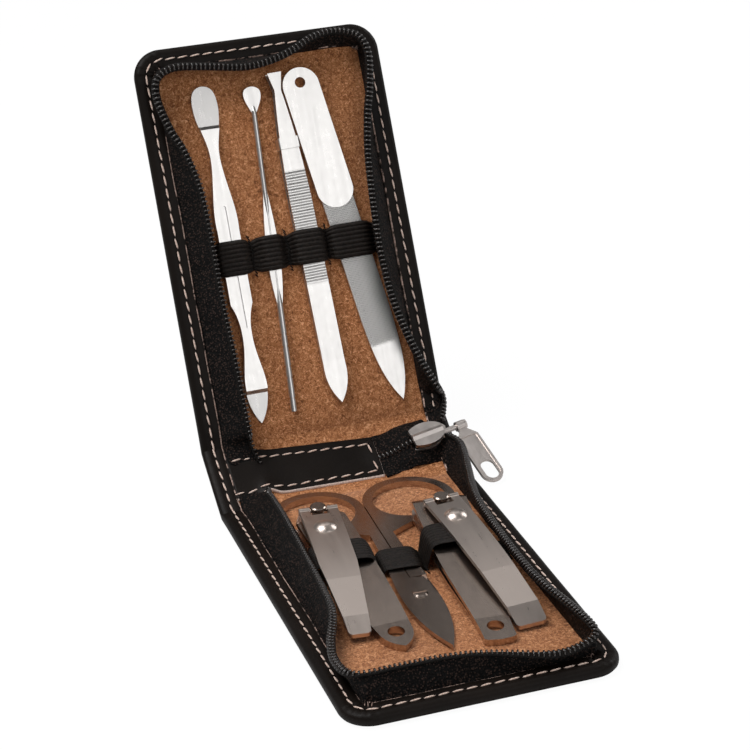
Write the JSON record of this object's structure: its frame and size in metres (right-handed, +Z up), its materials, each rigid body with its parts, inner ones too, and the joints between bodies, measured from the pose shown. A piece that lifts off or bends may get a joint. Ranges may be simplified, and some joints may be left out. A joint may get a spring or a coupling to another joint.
{
  "type": "manicure set case",
  "caption": "Zip-up leather case standing open, with clippers and scissors strapped in its lower leaf and a pusher, ear pick, tweezers and nail file in its upper leaf.",
  "frame": {"origin": "centre of the lower leaf's underside, on the table, half way across its width and half way from its free edge to the first crease", "axes": "+X across the case to the right, +Y from the lower leaf's free edge to the spine, +Z up off the table"},
  "size_m": [0.0811, 0.1854, 0.115],
  "materials": {
    "leather": "smooth near-black brown leather, turned and stitched edges",
    "stiffener": "grey card stiffener, hidden",
    "suede": "tan speckled suede",
    "zip_tape": "black knitted tape",
    "zip_coil": "black nylon coil",
    "elastic": "black ribbed elastic",
    "nickel": "satin nickel plate",
    "dark_steel": "polished warm grey steel",
    "bright_steel": "brushed bright steel"
  },
  "bodies": {
    "lower_leaf": {"lower_cover": "leather", "lower_board": "stiffener", "lower_lining": "suede", "lower_zip_tape": "zip_tape", "lower_zip_coil": "zip_coil", "lower_elastic": "elastic"},
    "spine": {"spine_cover": "leather", "spine_lining": "suede", "spine_patch": "leather", "zip_tail_tape": "zip_tape", "zip_tail_chain": "zip_coil"},
    "upper_leaf": {"upper_cover": "leather", "upper_board": "stiffener", "upper_lining": "suede", "upper_zip_tape": "zip_tape", "upper_zip_coil": "zip_coil", "upper_elastic": "elastic"},
    "slider": {"zip_slider": "nickel"},
    "pull": {"zip_pull": "nickel"},
    "cuticle_pusher": {"cuticle_pusher": "bright_steel"},
    "ear_pick": {"ear_pick": "bright_steel"},
    "tweezers": {"tweezer_back_arm": "bright_steel"},
    "tweezers_front": {"tweezer_front_arm": "bright_steel"},
    "tweezers_ring": {"tweezer_ring": "bright_steel"},
    "nail_file": {"file_handle": "bright_steel", "file_blade": "bright_steel"},
    "scissors": {"scissor_right_half": "dark_steel", "scissor_screw": "dark_steel"},
    "scissors_left": {"scissor_left_half": "dark_steel"},
    "right_clipper": {"right_clipper_lower_arm": "dark_steel"},
    "right_clipper_upper": {"right_clipper_upper_arm": "dark_steel"},
    "right_clipper_pin": {"right_clipper_pin": "dark_steel"},
    "right_clipper_lever": {"right_clipper_lever": "dark_steel"},
    "left_clipper": {"left_clipper_lower_arm": "dark_steel"},
    "left_clipper_upper": {"left_clipper_upper_arm": "dark_steel"},
    "left_clipper_pin": {"left_clipper_pin": "dark_steel"},
    "left_clipper_lever": {"left_clipper_lever": "dark_steel"}
  },
  "joints": [
    {"name": "lower_fold", "type": "hinge", "parent": "lower_leaf", "child": "spine", "pos_m": [0, 0.05725, 0.0004], "axis": [-1, 0, 0], "range_deg": [-58.5, 31.5]},
    {"name": "upper_fold", "type": "hinge", "parent": "spine", "child": "upper_leaf", "pos_m": [0, 0.07618, 0.012], "axis": [-1, 0, 0], "range_deg": [-58.5, 31.5]},
    {"name": "slider_slide", "type": "slide", "parent": "spine", "child": "slider", "axis": [-0.9816, -0.1627, -0.0997], "range_m": [-0.003, 0.0008], "deforming": ["zip_tail_tape", "zip_tail_chain"]},
    {"name": "pull_swing", "type": "hinge", "parent": "slider", "child": "pull", "pos_m": [0.03833, 0.06815, 0.01048], "axis": [-0.9816, -0.1627, -0.0997], "range_deg": [0, 70]},
    {"name": "cuticle_pusher_lift", "type": "slide", "parent": "upper_leaf", "child": "cuticle_pusher", "axis": [0, -0.891, 0.454], "range_m": [0, 0.03], "deforming": ["upper_elastic"]},
    {"name": "ear_pick_lift", "type": "slide", "parent": "upper_leaf", "child": "ear_pick", "axis": [0, -0.891, 0.454], "range_m": [0, 0.03], "deforming": ["upper_elastic"]},
    {"name": "tweezers_lift", "type": "slide", "parent": "upper_leaf", "child": "tweezers", "axis": [0, -0.891, 0.454], "range_m": [0, 0.03], "deforming": ["upper_elastic"]},
    {"name": "nail_file_lift", "type": "slide", "parent": "upper_leaf", "child": "nail_file", "axis": [0, -0.891, 0.454], "range_m": [0, 0.03], "deforming": ["upper_elastic"]},
    {"name": "tweezers_squeeze", "type": "hinge", "parent": "tweezers", "child": "tweezers_front", "pos_m": [0.00564, 0.082, 0.03102], "axis": [-0.9996, -0.0135, -0.0264], "range_deg": [0, 0.85], "stiffness_Nm_per_rad": 0.05, "springref_deg": -4.58},
    {"name": "tweezers_ring_slide", "type": "slide", "parent": "tweezers", "child": "tweezers_ring", "axis": [-0.0297, 0.4538, 0.8906], "range_m": [0, 0.003]},
    {"name": "scissors_slide", "type": "slide", "parent": "lower_leaf", "child": "scissors", "axis": [0, -1, 0], "range_m": [0, 0.008], "deforming": ["lower_elastic"]},
    {"name": "scissors_open", "type": "hinge", "parent": "scissors", "child": "scissors_left", "pos_m": [-0.0008, -0.00855, 0.0024], "axis": [0, 0, 1], "range_deg": [0, 3.5], "deforming": ["lower_elastic"]},
    {"name": "right_clipper_lift", "type": "slide", "parent": "lower_leaf", "child": "right_clipper", "axis": [0, 0, 1], "range_m": [0, 0.03], "deforming": ["lower_elastic"]},
    {"name": "right_clipper_flex", "type": "hinge", "parent": "right_clipper", "child": "right_clipper_upper", "pos_m": [0.01147, -0.02748, 0.00431], "axis": [-0.9945, 0.1045, 0], "range_deg": [0, 2], "stiffness_Nm_per_rad": 0.2, "springref_deg": -4.58, "deforming": ["lower_elastic"]},
    {"name": "right_clipper_swivel", "type": "hinge", "parent": "right_clipper", "child": "right_clipper_pin", "pos_m": [0.01694, 0.02457, 0.00833], "axis": [-0.008, -0.0763, 0.9971], "range_deg": [0, 3], "deforming": ["lower_elastic"]},
    {"name": "right_clipper_lever_tilt", "type": "hinge", "parent": "right_clipper_pin", "child": "right_clipper_lever", "pos_m": [0.01691, 0.02427, 0.01227], "axis": [-0.9983, -0.0571, -0.0124], "range_deg": [0, 95], "deforming": ["lower_elastic"]},
    {"name": "left_clipper_lift", "type": "slide", "parent": "lower_leaf", "child": "left_clipper", "axis": [0, 0, 1], "range_m": [0, 0.03], "deforming": ["lower_elastic"]},
    {"name": "left_clipper_flex", "type": "hinge", "parent": "left_clipper", "child": "left_clipper_upper", "pos_m": [-0.01299, -0.02077, 0.00431], "axis": [-0.9989, -0.0471, 0], "range_deg": [0, 2], "stiffness_Nm_per_rad": 0.2, "springref_deg": -4.58, "deforming": ["lower_elastic"]},
    {"name": "left_clipper_swivel", "type": "hinge", "parent": "left_clipper", "child": "left_clipper_pin", "pos_m": [-0.01545, 0.03152, 0.00833], "axis": [-0.0036, 0.0766, -0.9971], "range_deg": [0, 3], "deforming": ["lower_elastic"]},
    {"name": "left_clipper_lever_tilt", "type": "hinge", "parent": "left_clipper_pin", "child": "left_clipper_lever", "pos_m": [-0.01544, 0.03122, 0.01227], "axis": [-0.9939, 0.1093, 0.012], "range_deg": [0, 95], "deforming": ["lower_elastic"]}
  ],
  "couplings": [
    {"joint": "upper_fold", "follows": "lower_fold", "ratio": 1}
  ]
}
